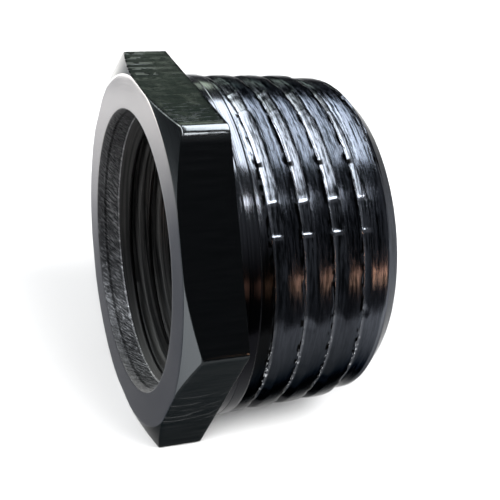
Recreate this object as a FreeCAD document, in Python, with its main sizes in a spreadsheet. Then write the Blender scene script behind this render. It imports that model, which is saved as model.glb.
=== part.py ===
import FreeCAD, Part
import math
import os

import Sketcher

# Hexagon reducing bush, turned in one piece from hexagon bar.
# The bar keeps its flats as a short spanner head. Behind the head it is turned down to a plain
# collar and a taper pipe thread, and the middle is bored and tapped for a smaller thread.
# The bore's axis is X. The origin is on it, in the plane of the shoulder behind the head.
# The head points to -X and lies on one flat, with +Z up.

SAME_PLACE = 1e-4

document = FreeCAD.newDocument("reducer_bush")

# Driving sizes, in millimetres and degrees
sizes = {
    # hexagon head
    "across_flats": 21.0,
    "head_length": 3.3,
    "bar_corner_radius": 0.45,
    "face_circle_diameter": 21.1,
    "face_chamfer_angle": 24.0,
    # turned shank
    "shank_length": 10.0,
    "collar_diameter": 20.9,
    "collar_length": 1.15,
    "collar_edge": 0.08,
    "crest_diameter": 20.76,
    "taper_on_diameter": 0.0625,
    "nose_chamfer": 1.2,
    "nose_diameter": 18.0,
    # outside thread, 14 to the inch, its crests left wide
    "outside_pitch": 1.814,
    "outside_start": 1.88,
    "groove_depth": 0.6,
    "runout_turns": 0.4,
    # inside thread, 19 to the inch, tapped right through a drilled hole
    "inside_pitch": 1.337,
    "drilled_diameter": 15.25,
    "inside_major_diameter": 16.662,
    "mouth_diameter": 17.07,
    "mouth_depth": 0.42,
    "counterbore_diameter": 16.78,
    "counterbore_depth": 1.38,
    "exit_diameter": 16.8,
    # both threads have sides this far from square to the axis
    "side_angle": 27.5,
    # how far a cutting outline reaches past the metal it cuts
    "overcut": 0.3,
}

sheet = document.addObject("Spreadsheet::Sheet", "Sizes")
for row, (name, value) in enumerate(sizes.items(), start=1):
    sheet.set("A%d" % row, name)
    sheet.set("B%d" % row, str(value))
    sheet.setAlias("B%d" % row, name)
document.recompute()

body = document.addObject("PartDesign::Body", "Bush")
body.Label = "reducer_bush"


def origin_feature(role):
    """The body's own origin plane or axis that has this role."""
    for feature in body.Origin.OriginFeatures:
        if feature.Role == role:
            return feature
    raise LookupError(role)


def outline(name, plane, corners):
    """A closed outline on an origin plane, with two formulas for the place of each corner in that plane."""
    sketch = body.newObject("Sketcher::SketchObject", name)
    sketch.AttachmentSupport = [(origin_feature(plane), "")]
    sketch.MapMode = "FlatFace"
    places = [
        FreeCAD.Vector(float(sheet.evalExpression(across)), float(sheet.evalExpression(up)), 0)
        for across, up in corners
    ]
    for number, place in enumerate(places):
        sketch.addGeometry(Part.LineSegment(place, places[(number + 1) % len(places)]), False)
    for number, (across, up) in enumerate(corners):
        following = (number + 1) % len(corners)
        sketch.addConstraint(Sketcher.Constraint("Coincident", number, 2, following, 1))
        for kind, formula, value in (
            ("DistanceX", across, places[number].x),
            ("DistanceY", up, places[number].y),
        ):
            held = sketch.addConstraint(Sketcher.Constraint(kind, -1, 1, number, 1, value))
            sketch.setExpression("Constraints[%d]" % held, formula)
    return sketch


def turned(kind, name, corners):
    """A full turn of an outline about the bore's axis: a Revolution adds metal and a Groove cuts it."""
    sketch = outline(name + "Outline", "XY_Plane", corners)
    feature = body.newObject("PartDesign::" + kind, name)
    feature.Profile = sketch
    feature.ReferenceAxis = (origin_feature("X_Axis"), [""])
    feature.Angle = 360
    document.recompute()
    return feature


def groove_outline(name, along, root_radius, over_radius):
    """A sharp V groove's outline at a place along X, from its root to past the metal that it opens."""
    half_width = "abs((%s) - (%s)) * tan(Sizes.side_angle)" % (root_radius, over_radius)
    return outline(name, "XZ_Plane", [
        (along, root_radius),
        ("%s + %s" % (along, half_width), over_radius),
        ("%s - %s" % (along, half_width), over_radius),
    ])


def screw_cut(name, sketch, pitch, height, cone_angle, backwards=False):
    """A right-hand screw cut of a groove's outline along the bore's axis."""
    cut = body.newObject("PartDesign::SubtractiveHelix", name)
    cut.Profile = sketch
    cut.ReferenceAxis = (origin_feature("X_Axis"), [""])
    cut.Mode = "pitch-height-angle"
    cut.setExpression("Pitch", pitch)
    cut.setExpression("Height", height)
    cut.setExpression("Angle", cone_angle)
    cut.Reversed = backwards
    document.recompute()
    return cut


def crest_radius(along):
    """The outside thread's crest radius at this place along X, where the taper has reached."""
    return "(Sizes.crest_diameter - Sizes.taper_on_diameter * (%s - Sizes.collar_length)) / 2" % along


# Turned shank: plain collar, the taper that the thread is cut in, and a chamfered nose
taper_end = "(Sizes.shank_length - Sizes.nose_chamfer)"
turned("Revolution", "Shank", [
    ("0", "0"),
    ("0", "Sizes.collar_diameter / 2"),
    ("Sizes.collar_length - Sizes.collar_edge", "Sizes.collar_diameter / 2"),
    ("Sizes.collar_length", crest_radius("Sizes.collar_length")),
    (taper_end, crest_radius(taper_end)),
    ("Sizes.shank_length", "Sizes.nose_diameter / 2"),
    ("Sizes.shank_length", "0"),
])

# Hexagon head in front of the shoulder: a length of bar with its drawn corners a little round
bar_corner_reach = "Sizes.across_flats / 2 / cos(30)"
head_outline = outline("HeadOutline", "YZ_Plane", [
    ("%s * cos(%d)" % (bar_corner_reach, angle), "%s * sin(%d)" % (bar_corner_reach, angle))
    for angle in range(0, 360, 60)
])
head = body.newObject("PartDesign::Pad", "Head")
head.Profile = head_outline
head.Reversed = True
head.setExpression("Length", "Sizes.head_length")
document.recompute()

reach = float(sheet.evalExpression(bar_corner_reach))
bar_corners = [
    "Edge%d" % number
    for number, edge in enumerate(head.Shape.Edges, start=1)
    if all(abs(math.hypot(end.Y, end.Z) - reach) < SAME_PLACE for end in edge.Vertexes)
    and abs(edge.Vertexes[0].X - edge.Vertexes[-1].X) > SAME_PLACE
]
rounded = body.newObject("PartDesign::Fillet", "BarCorners")
rounded.Base = (head, bar_corners)
rounded.setExpression("Radius", "Sizes.bar_corner_radius")
document.recompute()

# The facing cut leaves a round end face, and slopes back from it over the six corners
past_corner = "(%s + Sizes.overcut)" % bar_corner_reach
face_radius = "Sizes.face_circle_diameter / 2"
turned("Groove", "FaceChamfer", [
    ("-Sizes.head_length", face_radius),
    ("-Sizes.head_length + (%s - %s) * tan(Sizes.face_chamfer_angle)" % (past_corner, face_radius), past_corner),
    ("-Sizes.head_length", past_corner),
])

# Bore: a short bell mouth, a plain counterbore, then the hole that is tapped through to the nose
counterbore_end = "(Sizes.counterbore_depth - Sizes.head_length)"
drilled_radius = "Sizes.drilled_diameter / 2"
turned("Groove", "Bore", [
    ("-Sizes.head_length", "0"),
    ("-Sizes.head_length", "Sizes.mouth_diameter / 2"),
    ("Sizes.mouth_depth - Sizes.head_length", "Sizes.counterbore_diameter / 2"),
    (counterbore_end, "Sizes.counterbore_diameter / 2"),
    (counterbore_end + " + Sizes.counterbore_diameter / 2 - " + drilled_radius, drilled_radius),
    ("Sizes.shank_length - (Sizes.exit_diameter - Sizes.drilled_diameter) / 2", drilled_radius),
    ("Sizes.shank_length", "Sizes.exit_diameter / 2"),
    ("Sizes.shank_length", "0"),
])

# Outside thread: one V groove, cut turn by turn from the collar down the taper and off the nose.
# Towards the collar the tool draws out, so there the groove fades away.


def outside_groove(turn):
    """The outside groove's outline where this turn of it begins, sunk from the crest there."""
    along = "(Sizes.outside_start + %d * Sizes.outside_pitch)" % turn
    return groove_outline(
        "OutsideGroove%d" % turn,
        along,
        crest_radius(along) + " - Sizes.groove_depth",
        crest_radius(along) + " + Sizes.overcut",
    )


first_groove = outside_groove(0)
screw_cut(
    "OutsideRunout",
    first_groove,
    "Sizes.outside_pitch",
    "Sizes.outside_pitch * Sizes.runout_turns",
    "atan((Sizes.groove_depth + Sizes.overcut) / (Sizes.outside_pitch * Sizes.runout_turns))",
    backwards=True,
)
turns = math.ceil((sizes["shank_length"] - sizes["outside_start"]) / sizes["outside_pitch"])
for turn in range(turns):
    screw_cut(
        "OutsideThread%d" % turn,
        outside_groove(turn) if turn else first_groove,
        "Sizes.outside_pitch",
        "Sizes.outside_pitch",
        "-atan(Sizes.taper_on_diameter / 2)",
    )

# Inside thread: it starts in the open counterbore, and its crests stay flat at the drilled size
inside_start = "(%s - Sizes.inside_pitch)" % counterbore_end
inside_groove = groove_outline(
    "InsideGroove",
    inside_start,
    "Sizes.inside_major_diameter / 2",
    drilled_radius + " - Sizes.overcut",
)
document.recompute()
inside_thread = screw_cut(
    "InsideThread",
    inside_groove,
    "Sizes.inside_pitch",
    "Sizes.shank_length + Sizes.inside_pitch - %s" % inside_start,
    "0",
)
# Each turn of the crest is left as a face of its own, so a gauge can read the hole turn by turn
inside_thread.Refine = False

body.Tip = inside_thread
document.recompute()

# Every feature is sound, each one that adds metal adds some and each cut takes some away
volume = 0.0
for feature in document.Objects:
    if "Invalid" in feature.State or "Error" in feature.State:
        raise RuntimeError("%s failed: %s" % (feature.Name, feature.State))
    if feature.isDerivedFrom("PartDesign::Feature"):
        grows = feature.TypeId.endswith(("Pad", "Revolution"))
        if (feature.Shape.Volume > volume) != grows:
            raise RuntimeError(feature.Name + " moved no metal")
        volume = feature.Shape.Volume
if body.Shape.isNull() or not body.Shape.isValid() or len(body.Shape.Solids) != 1:
    raise RuntimeError("the bush is not one sound solid")

os.makedirs("parts", exist_ok=True)
body.Shape.exportStep("parts/%s.step" % body.Label)
print("volume %.1f mm3" % body.Shape.Volume, body.Shape.BoundBox)
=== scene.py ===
import math

import bmesh
import bpy
import numpy as np
from mathutils import Matrix, Vector


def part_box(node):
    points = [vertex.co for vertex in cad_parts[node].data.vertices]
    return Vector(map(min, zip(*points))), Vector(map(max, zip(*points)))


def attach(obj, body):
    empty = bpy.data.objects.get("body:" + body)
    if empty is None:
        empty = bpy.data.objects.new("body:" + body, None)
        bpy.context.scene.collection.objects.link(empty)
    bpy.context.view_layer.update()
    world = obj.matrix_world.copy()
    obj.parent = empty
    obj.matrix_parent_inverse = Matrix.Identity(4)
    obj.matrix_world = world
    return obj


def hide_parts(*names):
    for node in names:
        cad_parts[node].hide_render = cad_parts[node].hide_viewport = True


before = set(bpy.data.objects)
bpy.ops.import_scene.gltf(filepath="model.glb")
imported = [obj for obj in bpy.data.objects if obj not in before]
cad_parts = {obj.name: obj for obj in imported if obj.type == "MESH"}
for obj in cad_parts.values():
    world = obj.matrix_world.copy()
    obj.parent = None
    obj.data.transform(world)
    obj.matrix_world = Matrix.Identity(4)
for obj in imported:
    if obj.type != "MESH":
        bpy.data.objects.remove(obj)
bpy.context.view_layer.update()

# Hexagon head: the front of the bush, a short length of drawn steel bar with its six flats left on,
# plated black as the whole bush is. A facing cut gives it a satin round end face, and slopes back
# from that over the corners. The flats stay smooth, with short rubs and scratches from handling.
MM = 0.001
low, high = (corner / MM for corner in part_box("reducer_bush"))
face_place = low.x
half_across_flats = high.z
face_radius = 10.55
face_slope = math.radians(24)
bar_corner_radius = 0.45
worn_corner, worn_corner_radius = 120, 0.75
smallest_edge_break = 0.05
mouth_radius = 8.535

# Places round the bush, in degrees, where its skin has points: closer on the front than behind, and
# closest at the bar's corners and where the die stopped and left burrs or a nick on the thread
FULL_TURN = 360
FLAT_TURN = 60
BURR_SIZES = {94: 1, 105: 1, 139.5: 1, 150: 2}
NICK = 126.5
corner_steps, mark_steps = (0.3, 0.6, 1, 1.3, 1.8), (0, 0.5)
places_round = set(range(0, FULL_TURN + 1, 2)) | set(range(46, 216))
for spots, steps in (
    (range(0, FULL_TURN + 1, FLAT_TURN), corner_steps),
    ((*BURR_SIZES, NICK), mark_steps),
):
    for place in (spot + step * side for spot in spots for step in steps for side in (-1, 1)):
        if 0 < place < FULL_TURN:
            places_round.add(place)
degrees = np.array(sorted(places_round), float)
around = np.radians(degrees)

# Distance of the bar's side from the axis, with its drawn corners round
from_corner = np.radians(FLAT_TURN / 2 - np.abs(degrees % FLAT_TURN - FLAT_TURN / 2))
half_turn = math.radians(FLAT_TURN / 2)
edge_radius = np.where(
    np.abs(degrees - worn_corner) < FLAT_TURN / 2, worn_corner_radius, bar_corner_radius
)
corner_centre = (half_across_flats - edge_radius) / math.cos(half_turn)
corner_end = np.arctan2(
    edge_radius * math.sin(half_turn), corner_centre + edge_radius * math.cos(half_turn)
)
inside_corner = np.minimum(from_corner, corner_end)
bar_side = np.where(
    from_corner < corner_end,
    corner_centre * np.cos(inside_corner)
    + np.sqrt(edge_radius ** 2 - (corner_centre * np.sin(inside_corner)) ** 2),
    half_across_flats / np.cos(half_turn - from_corner),
)

lines_round = []
finishes = []


def lay(along, radius, finish):
    """One line of points round the bush, after the last, with the finish of the strip between them.

    The lines go from the mouth out over the head, along the shank and back through the bore.
    """
    lines_round.append((along + 0 * around, radius + 0 * around, finish))


def turn(corners, finish):
    """Straight cuts from corner to corner, each (place, radius, edge break).

    The first and last corners are only where the cuts start and end. The others are broken.
    """
    support = 0.3
    most_of_cut = 0.45
    shortest_cut = 1e-6
    spots = [np.array([along + 0 * around, radius + 0 * around]) for along, radius, _ in corners]
    for number in range(1, len(spots) - 1):
        last, here, after = spots[number - 1:number + 2]
        length = np.hypot(*(here - last))
        if length.mean() > 4 * support:
            for share in (support / length, 1 - support / length):
                lay(*(last + (here - last) * share), finish)
        reach = corners[number][2]
        back = np.minimum(reach / np.maximum(length, shortest_cut), most_of_cut)
        on = np.minimum(reach / np.maximum(np.hypot(*(after - here)), shortest_cut), most_of_cut)
        start, end = here + (last - here) * back, here + (after - here) * on
        for share in (0, 1 / 3, 2 / 3, 1):
            rounded = (1 - share) ** 2 * start + 2 * share * (1 - share) * here + share ** 2 * end
            lay(*rounded, finish)


class Field:
    """A number or colour that changes over a surface, as one socket of a finish's nodes."""

    def __init__(self, tree, socket):
        self.tree, self.socket = tree, socket

    def node(self, kind, settings, sockets, output=0):
        """Adds a node of this kind to the same finish, and gives one of its outputs."""
        made = self.tree.nodes.new("ShaderNode" + kind)
        for name, value in settings.items():
            setattr(made, name, value)
        for name, value in sockets.items():
            if isinstance(value, Field):
                self.tree.links.new(value.socket, made.inputs[name])
            else:
                made.inputs[name].default_value = value
        return Field(self.tree, made.outputs[output])

    def math(self, operation, *values):
        """A Math node on these values, or on this field alone."""
        return self.node("Math", {"operation": operation}, dict(enumerate(values or (self,))))

    def __add__(self, other):
        return self.math("ADD", self, other)

    def __sub__(self, other):
        return self.math("SUBTRACT", self, other)

    def __rsub__(self, other):
        return self.math("SUBTRACT", other, self)

    def __mul__(self, other):
        return self.math("MULTIPLY", self, other)

    def __truediv__(self, other):
        return self.math("DIVIDE", self, other)

    def __pow__(self, other):
        return self.math("POWER", self, other)

    __radd__, __rmul__ = __add__, __mul__

    def between(self, start, end):
        """0 below the start, 1 above the end and a smooth step in between."""
        return self.node(
            "MapRange",
            {"interpolation_type": "SMOOTHSTEP"},
            {0: self, 1: start, 2: end, 3: 0.0, 4: 1.0},
        )

    def near(self, place, reach):
        """1 at a place, and 0 further from it than the reach."""
        return 1 - (self - place).math("ABSOLUTE").between(reach * 0.5, reach)

    def grain(self, along, up, back, detail=2.0, roughness=0.5):
        """Noise from 0 to 1, one lump to a unit, at the place that three fields give."""
        place = self.node("CombineXYZ", {}, {0: along, 1: up, 2: back})
        return self.node(
            "TexNoise", {}, {"Vector": place, "Scale": 1.0, "Detail": detail, "Roughness": roughness}
        )

    def shade(self, dark, light):
        """A colour that runs from dark to light as this runs from 0 to 1. Either may be a field."""
        ends = [end if isinstance(end, Field) else (*end, 1) for end in (dark, light)]
        return self.node("Mix", {"data_type": "RGBA"}, {0: self, 6: ends[0], 7: ends[1]}, 2)

    def relief(self, height, below=None):
        """A bump whose full height is in millimetres, on top of another one."""
        sockets = {"Height": self, "Distance": height * MM, "Strength": 1.0}
        if below:
            sockets["Normal"] = below
        return self.node("Bump", {}, sockets)


def plated(name):
    """A new black plated finish, its shader and the place in millimetres: X, Y, Z and radius."""
    finish = bpy.data.materials.new(name)
    finish.use_nodes = True
    finishes.append(finish)
    tree = finish.node_tree
    shader = tree.nodes["Principled BSDF"]
    shader.inputs["Metallic"].default_value = 1.0
    place = Field(tree, tree.nodes.new("ShaderNodeTexCoord").outputs["Object"])
    along, across, up = (
        place.node("SeparateXYZ", {}, {0: place}, output) * (1 / MM) for output in range(3)
    )
    return shader, along, across, up, (across * across + up * up) ** 0.5


def tool_lines(place, spacing, across, up, radius, broken, detail, roughness=0.5):
    """Fine lines right round that a tool leaves, so many to a millimetre, broken here and there."""
    return radius.grain(
        place * spacing, across / radius * broken, up / radius * broken, detail, roughness
    )


def dress(shader, edge_tint, colour, roughness, normal):
    """Gives a finish its colour seen edge-on, its colour, roughness and bump. Returns its number."""
    shader.inputs["Specular Tint"].default_value = (*edge_tint, 1)
    for name, field in (("Base Color", colour), ("Roughness", roughness), ("Normal", normal)):
        field.tree.links.new(field.socket, shader.inputs[name])
    return len(finishes) - 1


# End face: satin, in rings left by the facing tool, with a painted sheen that makes it paler towards
# the top and +Y
shader, along, across, up, radius = plated("faced_end")
rings = tool_lines(radius, 22, across, up, radius, 2, 3.0)
cloud = radius.grain(along * 0.4, across * 0.4, up * 0.4, 3.0)
# Painted sheen: the face is paler towards the top and +Y
painted_face_sheen = (across * 0.5 + up * 0.85 + cloud * 2).between(1.0, 8.5)
FACED = dress(
    shader,
    (0.54, 0.54, 0.56),
    (0.85 * painted_face_sheen + 0.15 * cloud).shade((0.010, 0.015, 0.019), (0.318, 0.310, 0.299)),
    0.12 + 0.06 * cloud + 0.04 * rings,
    rings.relief(0.003),
)

# Sloped corners: the same rings on a darker cut, with painted shade underneath and a painted sheen
# that makes the corner pointing to -Y palest
shader, along, across, up, radius = plated("sloped_corners")
rings = tool_lines(radius, 22, across, up, radius, 2, 3.0)
# Painted sheen on the corner that points to -Y, and painted shade below about -5 mm, where the rings
# fade and the cut goes dark
painted_corner_sheen = up.near(0.0, 7.0) * (1 - across.between(-8.0, -4.0))
SLOPED = dress(
    shader,
    (0.38, 0.38, 0.38),
    ((0.10 + 0.10 * rings) * up.between(-10.0, -5.0) + 0.17 * painted_corner_sheen).shade(
        (0.010, 0.013, 0.014), (0.265, 0.280, 0.295)
    ),
    0.16 + 0.06 * rings,
    rings.relief(0.003),
)

# Flats: drawn lines along the bar, one corner rubbed bright, rows of short dashes and smears on the
# top flat, and a few bowed strokes on the lower front flat
shader, along, across, up, radius = plated("drawn_flats")
drawn = along.grain(along * 0.5, across * 5, up * 5, 4.0, 0.6)
wavy = along.grain(along * 0.3, across * 1.2, up * 1.2, 1.0)
rubbed = radius.between(11.7, 11.95) * up.between(5.0, 9.0) * (1 - across.between(-1.0, 1.0))
# Painted shade: the lower flats lose the drawn lines' paler tone and go darker
painted_shade_below = 1 - up.between(-9.0, -1.0)
on_top = up.between(10.38, 10.46)
dashes = along.grain(along * 1.8, across * 1.5, up, 1.0).between(0.39, 0.50)
dashes = dashes * (1 - 0.7 * along.between(-2.0, -1.2))
rows = (across * 7).math("SINE").between(-0.5, 0.4) * dashes
smeared = along.grain(along * 1.2, across * 0.8, up, 5.0, 0.7).between(0.38, 0.68)
scored = along.grain(along * 1.2, across * 9, up * 3, 2.0).between(0.52, 0.68)
bowed = up * 9 - (along + 1.9) * (along + 1.9) * 1.6 - along * 1.2 + wavy * 7
broken = along.grain(along * 0.7, across * 0.3, up * 1.7, 1.0).between(0.40, 0.60)
strokes = bowed.math("SINE").between(0.80, 1.0) * broken
marks = (
    on_top * (
        1.6 * rows * across.between(0.5, 2.5) + 0.5 * smeared ** 2
        + (0.25 + 0.35 * (1 - across.between(-5.0, -1.5))) * scored
    ) * (1 - rubbed)
    + 0.5 * strokes * up.near(-5.5, 2.3) * (1 - across.between(-7.5, -6.0))
)
DRAWN = dress(
    shader,
    (0.43, 0.43, 0.43),
    (0.2 * drawn * (1 - painted_shade_below) + 0.8 * rubbed + 0.6 * marks).shade(
        (0.013, 0.015, 0.016), (0.095, 0.098, 0.099)
    ),
    0.13 + 0.10 * drawn + 0.08 * marks,
    marks.relief(0.01, drawn.relief(0.006, wavy.relief(0.02))),
)

slope_width = np.maximum((bar_side - face_radius) * math.tan(face_slope), smallest_edge_break)
slope_end = face_place + slope_width
face_edge = np.minimum(face_radius, bar_side - smallest_edge_break)
turn([
    (face_place, mouth_radius, 0),
    (face_place, face_edge, 0.05),
    (slope_end, bar_side, 0),
], FACED)
strip_width = 0.1
slope_back = np.minimum(
    strip_width / np.hypot(slope_end - face_place, bar_side - face_edge), 0.5
)
lay(
    slope_end - (slope_end - face_place) * slope_back,
    bar_side - (bar_side - face_edge) * slope_back,
    SLOPED,
)

# Plain collar: turned behind the head, with a shallow line round it where the tool dwelt.
# A painted sheen makes it the brightest part of the shank at the top, with fine lines round it that
# the tool left.
collar_radius = 10.45
collar_end = 1.07
crest_start = 1.15
crest_start_radius = 10.38
thread_from = crest_start + 0.1
dwell_place, dwell_depth = 0.42, 0.03

# Heights over which a painted sheen turns the shank's polish pale above, and a little again
# underneath
PAINTED_SHEEN_ABOVE = (3.0, 6.5)
PAINTED_SHEEN_UNDERNEATH = (-5.0, -1.0)

shader, along, across, up, radius = plated("turned_collar")
lines = tool_lines(along, 14, across, up, radius, 1.5, 4.0, 0.7)
cloud = radius.grain(along * 0.6, across * 0.6, up * 0.6, 3.0)
# Painted sheen: the collar's tone and tool lines show only high up, with a little painted reflection
# low down
COLLAR = dress(
    shader,
    (0.6, 0.6, 0.6),
    (
        (0.1 + 0.2 * cloud + 0.8 * lines.between(0.2, 0.7)) * up.between(*PAINTED_SHEEN_ABOVE)
        + 0.1 * (1 - up.between(*PAINTED_SHEEN_UNDERNEATH))
    ).shade((0.004, 0.004, 0.005), (0.115, 0.119, 0.130)),
    0.09 + 0.10 * lines,
    lines.relief(0.006),
)
turn([
    (face_place, face_edge, 0),
    (slope_end, bar_side, 0.09),
    (0, bar_side, 0.07),
    (0, collar_radius, 0),
], DRAWN)
turn([
    (0, bar_side, 0),
    (0, collar_radius, 0.06),
    (dwell_place - dwell_depth, collar_radius, 0.01),
    (dwell_place, collar_radius - dwell_depth, 0.01),
    (dwell_place + dwell_depth, collar_radius, 0.01),
    (collar_end, collar_radius, 0.04),
    (crest_start, crest_start_radius, 0.03),
    (thread_from, crest_start_radius, 0),
], COLLAR)

# Outside thread: a right-hand taper pipe thread, cut by a die that tears its walls and chips its
# edges. The groove deepens from nothing behind the collar and runs out over the nose chamfer.
taper = 0.0625 / 2
outside_pitch = 1.814
outside_start = 1.88
outside_depth = 0.35
root_aside, root_width = -0.22, 0.02
torn_slope = 0.6
shoulder_aside, shoulder_slope = 0.41, 0.44
crest_middle, crown, crown_reach, crown_rise = 0.98, 0.09, 0.6, 0.02
runout = 96
flank = math.tan(math.radians(27.5))
nose_place = high.x
nose_chamfer = 1.2
nose_radius = 9.0
START_TURN = 90

# Where the crest is worn down near the nose: from one place along the thread in degrees to another
# it sinks by so much
last_turn, last_turn_worn = (960, 1140), 0.15
first_cut, first_cut_worn = (1250, 1320), 0.2

# Torn and chipped edges. Each uneven run of them is a seed, a step in degrees and a height.
burr_width, burr_height = 0.6, 0.04
nick_width, nick_depth = 0.5, 2
chip_aside, chip_width, chip_depth = -0.38, 0.09, 0.12
LONG_TEARS, SHORT_TEARS = (3, 7, 0.02), (4, 3, 0.015)
LONG_CHIPS, SHORT_CHIPS = (6, 2.6, 1), (7, 4, 0.5)

# How far the thread's edges are eased: at the chamfer, where the torn wall ends, and on the crests
chamfer_ease, shoulder_ease, crest_ease = 0.04, 0.03, 0.02


def softer(first, second, blend, side=-1):
    """The smaller of two distances, or the larger for side 1, with the corner between them eased."""
    return (first + second + side * np.sqrt((first - second) ** 2 + blend ** 2)) / 2


def bulge(offset, width):
    """1 at no offset, fading to almost nothing at twice the width."""
    return np.exp(-(offset / width) ** 2)


def uneven(turned, seed, step, height):
    """Smooth irregular numbers up to a height along a thread, one knot for each step in degrees."""
    count = 900
    knots = np.random.default_rng(seed).uniform(-1, 1, count)
    place = (turned + 3 * FULL_TURN) / step % count
    first = np.floor(place).astype(int)
    share = place - first
    ease = share * share * (3 - 2 * share)
    return height * (knots[first % count] * (1 - ease) + knots[(first + 1) % count] * ease)


def crest(along):
    """Radius of the taper that the outside crests keep."""
    return crest_start_radius - taper * (along - crest_start)


def outside_radius(along):
    """Radius of the shank at every angle for one line of places: taper, chamfer and groove."""
    clear_of_wall = 1
    chamfer_start = nose_place - nose_chamfer
    chamfer_slope = (crest(chamfer_start) - nose_radius) / nose_chamfer
    chamfer = crest(chamfer_start) - (along - chamfer_start) * chamfer_slope
    centre = outside_start + outside_pitch * (degrees - START_TURN) / FULL_TURN

    # Crest: slightly crowned, and worn down on the last turn and where the die first cut
    crest_turned = degrees + FULL_TURN * np.floor((along - centre) / outside_pitch)
    worn = (
        last_turn_worn * np.interp(crest_turned, last_turn, (0, 1))
        + first_cut_worn * np.interp(crest_turned, first_cut, (0, 1))
    )
    from_middle = (along - centre) % outside_pitch - crest_middle
    rounding = crown * np.minimum(from_middle ** 2, crown_reach ** 2) - crown_rise
    skin = softer(crest(along) - worn - rounding, chamfer, chamfer_ease)

    # Groove: one steep wall, and one torn open that ends in a shoulder
    turns = np.round((along - centre) / outside_pitch)
    turned = degrees + FULL_TURN * turns
    aside = along - centre - outside_pitch * turns
    cut = np.clip((turned - (START_TURN - runout)) / runout, 0, 1)
    here = crest(centre + outside_pitch * turns)
    burrs = sum(bulge(degrees - mark, burr_width) * size for mark, size in BURR_SIZES.items())
    tear = uneven(turned, *LONG_TEARS) + uneven(turned, *SHORT_TEARS) + burr_height * burrs
    climb = np.where(aside > root_aside, torn_slope, 1 / flank)
    wall = here - outside_depth * cut + np.hypot(aside - root_aside, root_width) * climb
    shoulder = here + (aside - shoulder_aside) * shoulder_slope
    shoulder = np.where(aside > root_aside, shoulder, here + clear_of_wall)
    wall = softer(wall, shoulder, shoulder_ease) + tear * cut * (aside > root_aside)

    # Chips out of the crest's edge, more of them further along, and one nick across every turn
    chip = uneven(degrees, *LONG_CHIPS) + uneven(turned, *SHORT_CHIPS)
    chip = np.clip(chip, 0, 1) * np.clip(turned / FULL_TURN, 0.2, 1)
    chip = (chip + nick_depth * bulge(degrees - NICK, nick_width)) * (along < chamfer_start)
    skin = skin - chip_depth * chip * bulge(aside - chip_aside, chip_width)
    return softer(skin, wall, crest_ease)


# The shader follows the thread too: how far each point is along it and aside from the groove
shader, along, across, up, radius = plated("cut_thread")
angle = up.math("ARCTAN2", up, across) * (180 / math.pi)
from_start = along - outside_start - outside_pitch / FULL_TURN * (angle - START_TURN)
aside = from_start.math("WRAP", from_start, outside_pitch / 2, -outside_pitch / 2)
on_nose = along.between(nose_place - nose_chamfer - 0.1, nose_place - nose_chamfer)
# Painted shade on the lower side of the thread: there the streaks are evened, bare metal is darker
# and the skin darker still
smooth = 1 - up.between(-1.0, 4.0)
painted_shade_below = 1 - up.between(-5.0, 2.0)
on_wall = aside.between(-0.32, -0.26) * (1 - aside.between(-0.18, -0.02)) * (1 - on_nose)
on_shoulder = aside.between(-0.12, 0.0) * (1 - aside.between(0.25, 0.60)) * (1 - on_nose)
on_shoulder = on_shoulder * (1 - smooth)

# Marks of the cut: lines round the crests, slanting tears, bare patches, chips, burrs and flakes,
# the burrs and flakes with painted glints
lines = tool_lines(along, 11, across, up, radius, 3, 5.0, 0.75)
slanting = radius.grain(along * 7, across * 1.2 + along * 1.2, up * 1.2 + along * 1.2, 4.0, 0.7)
streaks = (lines * 0.6 + slanting * 0.4).between(0.42, 0.58) * (1 - 0.8 * smooth) + 0.35 * smooth
patches = radius.grain(along * 3, across * 1.5, up * 1.5, 3.0).between(0.25, 0.50)
chipped = radius.grain(along * 2.2, across * 2.2, up * 2.2, 1.0).between(0.51, 0.58)
chipped = chipped * aside.near(-0.42, 0.26)
nicked = angle.near(NICK, 1.2) * aside.near(-0.25, 0.34)
# Bare metal on two of the burrs, brightened as painted glints
burr_glints = (angle.near(139.5, 1.2) + angle.near(150.0, 1.0)) * aside.near(-0.1, 0.5) * (1 - on_nose)
# Bright torn flakes on the lower side, partly painted glints
flake_glints = radius.grain(along * 7, across * 4, up * 4, 1.0).between(0.56, 0.62)
flake_glints = flake_glints * aside.near(-0.3, 0.24) * (1 - up.between(-3.0, 0.0)) * (1 - on_nose)

# Black skin, then bare metal on the wall and nose with painted glints on two burrs, then painted
# shade in the chips, the nick and the start of the thread, then bright flakes, partly painted glints
# Bare metal where the thread runs in, shown only on the upper side as a painted sheen
run_in_bare_and_sheen = (1 - along.between(1.5, 2.2)) * up.between(*PAINTED_SHEEN_ABOVE)
# Painted shade over the start of the thread, between the upper and the lower sheen
shaded_start = (
    (1 - along.between(1.6, 2.6)) * (1 - up.between(*PAINTED_SHEEN_ABOVE)) * up.between(*PAINTED_SHEEN_UNDERNEATH)
)
bare = (
    on_wall * (0.3 + 0.45 * patches + 0.35 * streaks) + on_shoulder * (0.02 + 0.20 * streaks)
    + 0.19 * on_nose + run_in_bare_and_sheen * (0.22 + 0.22 * streaks) + 0.6 * burr_glints
)
# The skin's streaks, with painted shade underneath and at the start of the thread
polish = streaks * (1 - 0.86 * painted_shade_below) * (1 - 0.9 * shaded_start)
skin_colour = (polish * (0.9 + 0.8 * along.between(6.5, 8.5))).shade(
    (0.005, 0.006, 0.007), (0.060, 0.065, 0.077)
)
metal_colour = (bare * (1 - 0.78 * smooth * (1 - on_nose)) * (1 - 0.9 * shaded_start)).shade(
    skin_colour, (0.270, 0.281, 0.305)
)
# Painted shade in the nick, the chips and the start of the thread
shadowed_colour = (nicked + chipped * (1 - on_nose) + 0.8 * shaded_start).shade(
    metal_colour, (0.003, 0.003, 0.003)
)
THREAD = dress(
    shader,
    (0.40, 0.40, 0.40),
    flake_glints.shade(shadowed_colour, (0.40, 0.41, 0.43)),
    0.13 + 0.10 * streaks + 0.06 * on_wall,
    lines.relief(0.006, slanting.relief(0.008)),
)

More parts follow.
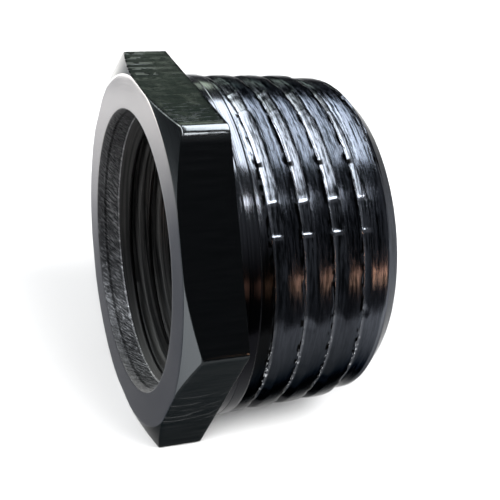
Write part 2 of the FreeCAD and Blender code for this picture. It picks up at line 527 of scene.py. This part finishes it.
outside_turns = range(-1, 5)
outside_steps = (-0.75, -0.56, -0.48, -0.43, -0.40, -0.37, -0.32, -0.25, -0.22, -0.19,
                 -0.1, 0.0, 0.08, 0.12, 0.22, 0.32, 0.38, 0.42, 0.48, 0.62, 0.84)
thread_to = nose_place - nose_chamfer - 0.05
for turns in outside_turns:
    for step in outside_steps:
        line = outside_start + outside_pitch * ((degrees - START_TURN) / FULL_TURN + turns) + step
        line = np.clip(line, thread_from, thread_to)
        lay(line, outside_radius(line), THREAD)
nose_step = 0.075
for place in np.arange(thread_to + nose_step, nose_place - nose_step / 2, nose_step):
    lay(place, outside_radius(place + 0 * around), THREAD)

# Bore: drilled through and tapped with a smaller parallel thread, cleared at the nose by a cone.
# At the head a plain counterbore, left rough and slantwise by a tool that chattered, opens into
# a short bell mouth.
inside_pitch = 1.337
drilled_radius = 7.625
inside_root_radius, inside_root_width = 8.331, 0.04
exit_radius = 8.4
counterbore_radius = 8.39
counterbore_end = -1.92
bell_end = -2.88
inside_start = counterbore_end - inside_pitch
bore_ease = 0.03
BORE_TEARS = (8, 6, 0.02)

# Tapped turns: grey and dull inside, with painted shade towards the mouth and underneath
shader, along, across, up, radius = plated("tapped_bore")
lines = tool_lines(along, 8, across, up, radius, 0.9, 3.0, 0.6)
deep = (along + 0.6).between(-0.6, 0.6)
lit = (0.25 + 0.75 * deep) * (0.4 + 0.6 * up.between(-7.0, -2.0))
TAPPED = dress(
    shader,
    (0.8, 0.8, 0.8),
    (lines.between(0.40, 0.62) * lit).shade((0.014, 0.014, 0.014), (0.085, 0.083, 0.080)),
    0.46 + 0.2 * lines,
    lines.relief(0.02),
)

# Counterbore: slanting chatter marks, paler on the lower side as a painted highlight, darker on the
# bell mouth and in a line just inside that
shader, along, across, up, radius = plated("chattered_counterbore")
arc = up.math("ARCTAN2", up, across) * counterbore_radius
chatter = radius.grain((arc + along) * 6, (arc - along) * 1.6, radius, 2.0)
cloud = radius.grain(along * 2, across * 2, up * 2, 4.0)
from_bell = along - bell_end
belled = 1 - from_bell.between(-0.08, 0.04) * (1 - from_bell.near(0.07, 0.12))
# Painted highlight: the chatter marks are paler low down
scraped_with_sheen = 0.5 * cloud + 0.5 * chatter.between(0.48, 0.66) * (1 - 0.6 * up.between(-4.0, 2.0))
CHATTERED = dress(
    shader,
    (1.0, 1.0, 1.0),
    (scraped_with_sheen * (1 - 0.7 * belled) * (0.3 + 0.7 * up.between(-8.4, -6.6))).shade(
        (0.014, 0.014, 0.015), (0.42, 0.42, 0.43)
    ),
    0.36 + 0.2 * cloud,
    chatter.relief(0.08),
)


def inside_radius(along):
    """Radius of the bore at every angle for one line of places: drilled hole, cones and groove."""
    exit_cone = exit_radius - (nose_place - along)
    front_cone = counterbore_radius - (along - counterbore_end)
    skin = softer(drilled_radius, exit_cone, bore_ease, 1)
    skin = softer(skin, np.minimum(front_cone, counterbore_radius), bore_ease, 1)
    centre = inside_start + inside_pitch * (degrees - START_TURN) / FULL_TURN
    turns = np.round((along - centre) / inside_pitch)
    aside = along - centre - inside_pitch * turns
    turned = degrees + FULL_TURN * turns
    wall = np.hypot(aside, inside_root_width) / flank + uneven(turned, *BORE_TEARS)
    return softer(skin, inside_root_radius - wall, bore_ease, 1)


cone_step = 0.1
turn([
    (nose_place - nose_step, nose_radius + 0.07, 0),
    (nose_place, nose_radius, 0.05),
    (nose_place, exit_radius, 0.05),
    (nose_place - cone_step, exit_radius - cone_step, 0),
], THREAD)
inside_turns = range(10, -1, -1)
inside_steps = (0.55, 0.42, 0.36, 0.18, 0.03, -0.03, -0.18, -0.36, -0.42, -0.55)
inside_to = nose_place - (exit_radius - drilled_radius) - cone_step
inside_from = counterbore_end + counterbore_radius - drilled_radius + cone_step
for place in np.arange(nose_place - cone_step, inside_to, -cone_step):
    lay(place, inside_radius(place + 0 * around), TAPPED)
for turns in inside_turns:
    for step in inside_steps:
        line = inside_start + inside_pitch * ((degrees - START_TURN) / FULL_TURN + turns) + step
        line = np.clip(line, inside_from, inside_to)
        lay(line, inside_radius(line), TAPPED)
for place in np.arange(inside_from - cone_step, counterbore_end, -cone_step):
    lay(place, inside_radius(place + 0 * around), TAPPED)
turn([
    (counterbore_end + 0.05, counterbore_radius - 0.05, 0),
    (counterbore_end, counterbore_radius, 0.03),
    (bell_end, counterbore_radius, 0.05),
    (face_place, mouth_radius, 0.05),
    (face_place, face_radius, 0),
], CHATTERED)

# The bush in one skin, as it is one piece of steel. A thread's line at a full turn meets the next
# turn's at none, and lines past the end of a thread lie on each other, so these points are welded.
weld_reach = 4e-7
points = [
    (along * MM, radius * np.cos(around) * MM, radius * np.sin(around) * MM)
    for along, radius, _ in lines_round
]
vertices = np.array(points).transpose(0, 2, 1).reshape(-1, 3)
count = len(around)
faces, face_finishes = [], []
for number in range(len(lines_round)):
    after = (number + 1) % len(lines_round)
    for place in range(count - 1):
        faces.append((
            number * count + place,
            number * count + place + 1,
            after * count + place + 1,
            after * count + place,
        ))
        face_finishes.append(lines_round[after][2])
mesh = bpy.data.meshes.new("bush")
mesh.from_pydata(vertices.tolist(), [], faces)
mesh.polygons.foreach_set("material_index", face_finishes)
mesh.polygons.foreach_set("use_smooth", [True] * len(faces))
for finish in finishes:
    mesh.materials.append(finish)
skin = bmesh.new()
skin.from_mesh(mesh)
bmesh.ops.remove_doubles(skin, verts=skin.verts, dist=weld_reach)
bmesh.ops.recalc_face_normals(skin, faces=skin.faces)
skin.to_mesh(mesh)
skin.free()
bush = bpy.data.objects.new("bush", mesh)
bpy.context.scene.collection.objects.link(bush)
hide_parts("reducer_bush")
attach(bush, "root")

# Table top: a plain pale sheet that the bush lies on, close to the sheet's front edge.
# Past that edge the polish reflects the dark room, as the lower half of the thread shows.
floor_reach = 0.8
floor_front = -0.027
floor_mesh = bpy.data.meshes.new("floor")
floor_mesh.from_pydata(
    [
        (across, back, low.z * MM) for across, back in (
            (-floor_reach, floor_front), (floor_reach, floor_front),
            (floor_reach, floor_reach), (-floor_reach, floor_reach),
        )
    ],
    [],
    [(0, 1, 2, 3)],
)
floor = bpy.data.objects.new("floor", floor_mesh)
bpy.context.scene.collection.objects.link(floor)
paper = bpy.data.materials.new("pale_paper")
paper.use_nodes = True
paper.node_tree.nodes["Principled BSDF"].inputs["Base Color"].default_value = (0.65, 0.65, 0.65, 1)
paper.node_tree.nodes["Principled BSDF"].inputs["Roughness"].default_value = 0.9
floor_mesh.materials.append(paper)

# Light: a dim room, long soft lights overhead, small warm ones low in front and soft ones behind.
# These show in the bush's polish, and two more in front light only the paper.
world = bpy.data.worlds.new("room")
bpy.context.scene.world = world
world.use_nodes = True
world.node_tree.nodes["Background"].inputs["Color"].default_value = (0.85, 0.9, 1.0, 1)
world.node_tree.nodes["Background"].inputs["Strength"].default_value = 0.17
DEEP, UPRIGHT = (0, 1, 0), (0, 0, 1)


def soft_light(name, toward, along, away, size, radiance, tint, seen="both"):
    """An oblong soft light that faces the bush from a direction, this far away.

    Its length lies along another direction. It is seen in the polish, on the paper, or in both.
    """
    lamp = bpy.data.lights.new(name, "AREA")
    lamp.shape = "RECTANGLE"
    lamp.size, lamp.size_y = size
    lamp.energy = radiance * math.pi * size[0] * size[1]
    lamp.color = tint
    made = bpy.data.objects.new(name, lamp)
    made.visible_diffuse = seen != "polish"
    made.visible_glossy = seen != "paper"
    bpy.context.scene.collection.objects.link(made)
    back = Vector(toward).normalized()
    made.location = back * away
    made.rotation_mode = "QUATERNION"
    side = Vector(along).cross(back).normalized()
    made.rotation_quaternion = Matrix((side, back.cross(side), back)).transposed().to_quaternion()


for name, toward, along, away, size, radiance, tint, seen in (
    ("overhead", (0.41, 0.285, 0.88), DEEP, 0.5, (0.15, 0.50), 14, (0.88, 0.94, 1.0), "polish"),
    ("overhead_left", (-0.49, 0.03, 0.87), DEEP, 0.5, (0.2, 0.5), 10.5, (0.92, 0.96, 1.0), "polish"),
    ("window_sill", (0.24, -0.57, 0.78), DEEP, 0.5, (0.08, 0.04), 24, (0.94, 0.96, 1.0), "polish"),
    ("left_back", (-0.46, 0.72, 0.50), UPRIGHT, 0.5, (0.22, 0.38), 9, (0.95, 1.0, 0.97), "polish"),
    ("key", (0.35, -0.60, 0.72), UPRIGHT, 0.5, (0.3, 0.3), 17, (1.0, 1.0, 1.0), "paper"),
    ("fill", (-0.45, -0.55, 0.70), UPRIGHT, 0.5, (0.3, 0.3), 15, (1.0, 1.0, 1.0), "paper"),
    ("low_behind", (-0.34, 0.94, 0.01), UPRIGHT, 0.058, (0.04, 0.018), 5, (1.0, 0.98, 0.95), "both"),
    ("back", (0.19, 0.925, 0.38), UPRIGHT, 0.5, (0.17, 0.09), 4.1, (0.86, 1.0, 0.78), "polish"),
    ("warm_front", (0.49, -0.87, 0.0), UPRIGHT, 0.5, (0.085, 0.03), 19, (1.0, 0.50, 0.30), "polish"),
    ("warm_low", (0.49, -0.865, -0.08), UPRIGHT, 0.5, (0.085, 0.03), 9, (1.0, 0.55, 0.32), "polish"),
):
    soft_light(name, toward, along, away, size, radiance, tint, seen)

# Camera: at the photograph's viewing angle, close to the bush and turned a little on its own axis
azimuth, elevation, roll = (math.radians(angle) for angle in (-23.47, 28.45, 6.46))
aim = Vector((3.35, -2.71, 0.91)) * MM
distance = 63.53 * MM
back = Vector((
    math.sin(azimuth) * math.cos(elevation),
    -math.cos(azimuth) * math.cos(elevation),
    math.sin(elevation),
))
lens = bpy.data.cameras.new("camera")
lens.sensor_width = 36
lens.lens = 76.0
lens.clip_start, lens.clip_end = 0.005, 10
camera = bpy.data.objects.new("camera", lens)
bpy.context.scene.collection.objects.link(camera)
camera.location = aim + back * distance
camera.rotation_mode = "QUATERNION"
camera.rotation_quaternion = (
    (-back).to_track_quat("-Z", "Y") @ Matrix.Rotation(roll, 3, "Z").to_quaternion()
)
bpy.context.scene.camera = camera
bpy.context.scene.view_settings.view_transform = "Standard"
